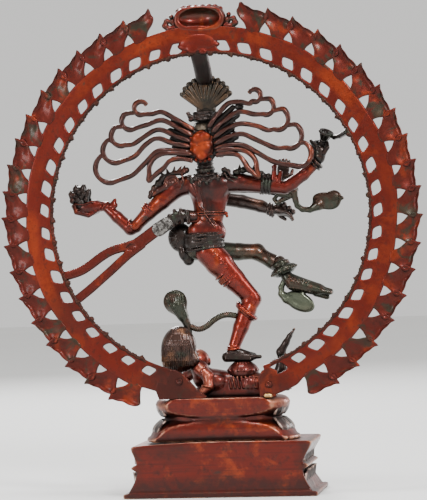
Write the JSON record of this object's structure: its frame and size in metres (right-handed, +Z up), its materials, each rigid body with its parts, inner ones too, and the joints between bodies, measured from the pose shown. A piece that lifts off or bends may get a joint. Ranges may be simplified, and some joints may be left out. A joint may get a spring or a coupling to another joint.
{
  "type": "brass nataraja statue",
  "caption": "Cast brass dancing figure standing on a dwarf inside an arched ring of flame leaves, on a hollow rectangular lotus pedestal.",
  "frame": {"origin": "middle of the pedestal on the surface that the statue stands on", "axes": "+Z up, -Y the way the figure faces, +X towards the figure's left"},
  "size_m": [0.4409, 0.1, 0.508],
  "materials": {
    "figure_brass": "worn reddish copper-brown patina over brass",
    "hair_brass": "worn reddish brown patina, dark in the recesses",
    "green_patina_brass": "dark greenish brown patina",
    "dwarf_brass": "worn reddish brown patina with dark recesses",
    "ring_brass": "satin reddish patina, edges worn to pale brass",
    "pedestal_brass": "brushed satin patina, edges worn to pale brass",
    "steel_fixing": "dull plated steel"
  },
  "bodies": {
    "root": {"anklet_pendant": "green_patina_brass", "arm_cobra": "figure_brass", "arm_rings": "figure_brass", "belt": "figure_brass", "blessing_arm": "figure_brass", "crest_mask": "ring_brass", "crown_band": "hair_brass", "drum": "figure_brass", "drum_arm": "figure_brass", "drum_strut": "figure_brass", "dwarf_arms": "dwarf_brass", "dwarf_body": "dwarf_brass", "dwarf_cobra_body": "dwarf_brass", "dwarf_cobra_hood": "dwarf_brass", "dwarf_folded_leg": "dwarf_brass", "dwarf_head": "dwarf_brass", "dwarf_raised_leg": "dwarf_brass", "ear_rings": "figure_brass", "feather_fan": "hair_brass", "fixing_nuts": "steel_fixing", "fixing_studs": "steel_fixing", "flame": "figure_brass", "flame_arm": "figure_brass", "flame_leaves": "ring_brass", "flame_ring": "ring_brass", "foot_pad": "dwarf_brass", "hair_lock_left_1": "hair_brass", "hair_lock_left_2": "hair_brass", "hair_lock_left_3": "hair_brass", "hair_lock_left_4": "hair_brass", "hair_lock_left_5": "hair_brass", "hair_lock_left_6": "hair_brass", "hair_lock_right_1": "hair_brass", "hair_lock_right_2": "hair_brass", "hair_lock_right_3": "hair_brass", "hair_lock_right_4": "hair_brass", "hair_lock_right_5": "hair_brass", "hair_lock_right_6": "hair_brass", "hair_wings": "hair_brass", "head": "figure_brass", "head_strut": "ring_brass", "leg_bands": "figure_brass", "lotus_petals": "pedestal_brass", "lotus_tier": "pedestal_brass", "nape_disc": "hair_brass", "plinth": "pedestal_brass", "plinth_leaves": "pedestal_brass", "pointing_arm": "figure_brass", "raised_anklet": "green_patina_brass", "raised_leg": "green_patina_brass", "ring_feet": "ring_brass", "ring_inner_rim": "ring_brass", "ring_rivets": "ring_brass", "sacred_thread": "figure_brass", "sash": "figure_brass", "shoulder_ornament": "figure_brass", "skirt": "figure_brass", "standing_leg": "figure_brass", "torso": "figure_brass", "waist_tassel": "figure_brass"}
  },
  "joints": []
}
